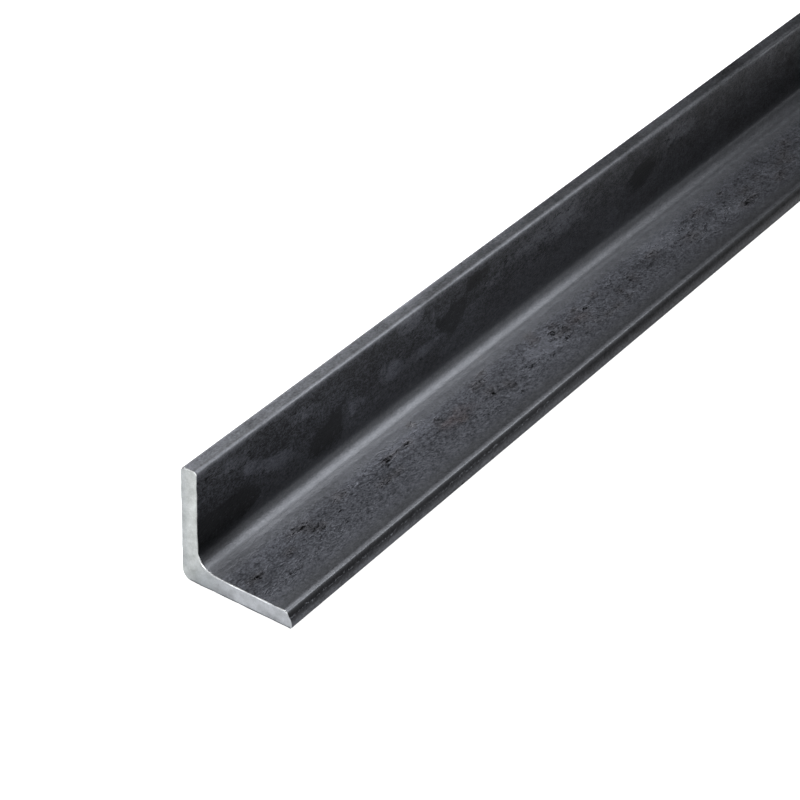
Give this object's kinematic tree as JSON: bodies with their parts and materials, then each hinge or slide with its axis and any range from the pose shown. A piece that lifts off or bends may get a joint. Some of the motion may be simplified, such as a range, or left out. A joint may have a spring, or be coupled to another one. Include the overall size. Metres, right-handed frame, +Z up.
{
  "type": "steel equal angle bar",
  "caption": "Straight bar of hot-rolled steel angle: equal legs at a right angle, rounded root and tips, sawn square at the ends.",
  "frame": {"origin": "on the floor, in the middle of the bar's outer box", "axes": "+Z up, +Y along the bar, and the upright leg stands at the -X side, over the heel"},
  "size_m": [0.035, 1, 0.035],
  "materials": {
    "rolled_steel": "dark blue-grey mill scale as rolled, bright sawn ends"
  },
  "bodies": {
    "root": {"angle_bar": "rolled_steel"}
  },
  "joints": []
}
